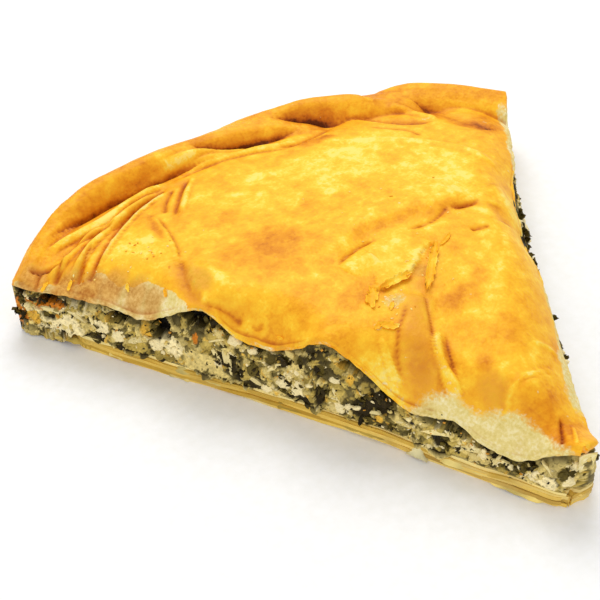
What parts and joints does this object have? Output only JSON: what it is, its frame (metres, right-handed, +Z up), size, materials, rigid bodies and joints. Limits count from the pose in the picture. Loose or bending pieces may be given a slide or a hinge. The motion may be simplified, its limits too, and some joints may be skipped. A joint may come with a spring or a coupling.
{
  "type": "spinach and cheese pie slice",
  "caption": "Wedge cut from a round savoury pie: golden layered crust with a twisted rim, filling of greens and crumbled cheese, pale flaky base.",
  "frame": {"origin": "on the underside of the base, below the middle of the slice's area", "axes": "+Z up, +Y from the pointed tip to the rim along the slice's middle line, +X to the right when seen from the tip"},
  "size_m": [0.1677, 0.1514, 0.0315],
  "materials": {
    "golden_filo": "baked, brushed with oil",
    "greens_and_cheese": "moist, lumpy",
    "pale_filo": "pale, flaky"
  },
  "bodies": {
    "root": {"top_crust": "golden_filo", "filling": "greens_and_cheese", "bottom_crust": "pale_filo"}
  },
  "joints": []
}
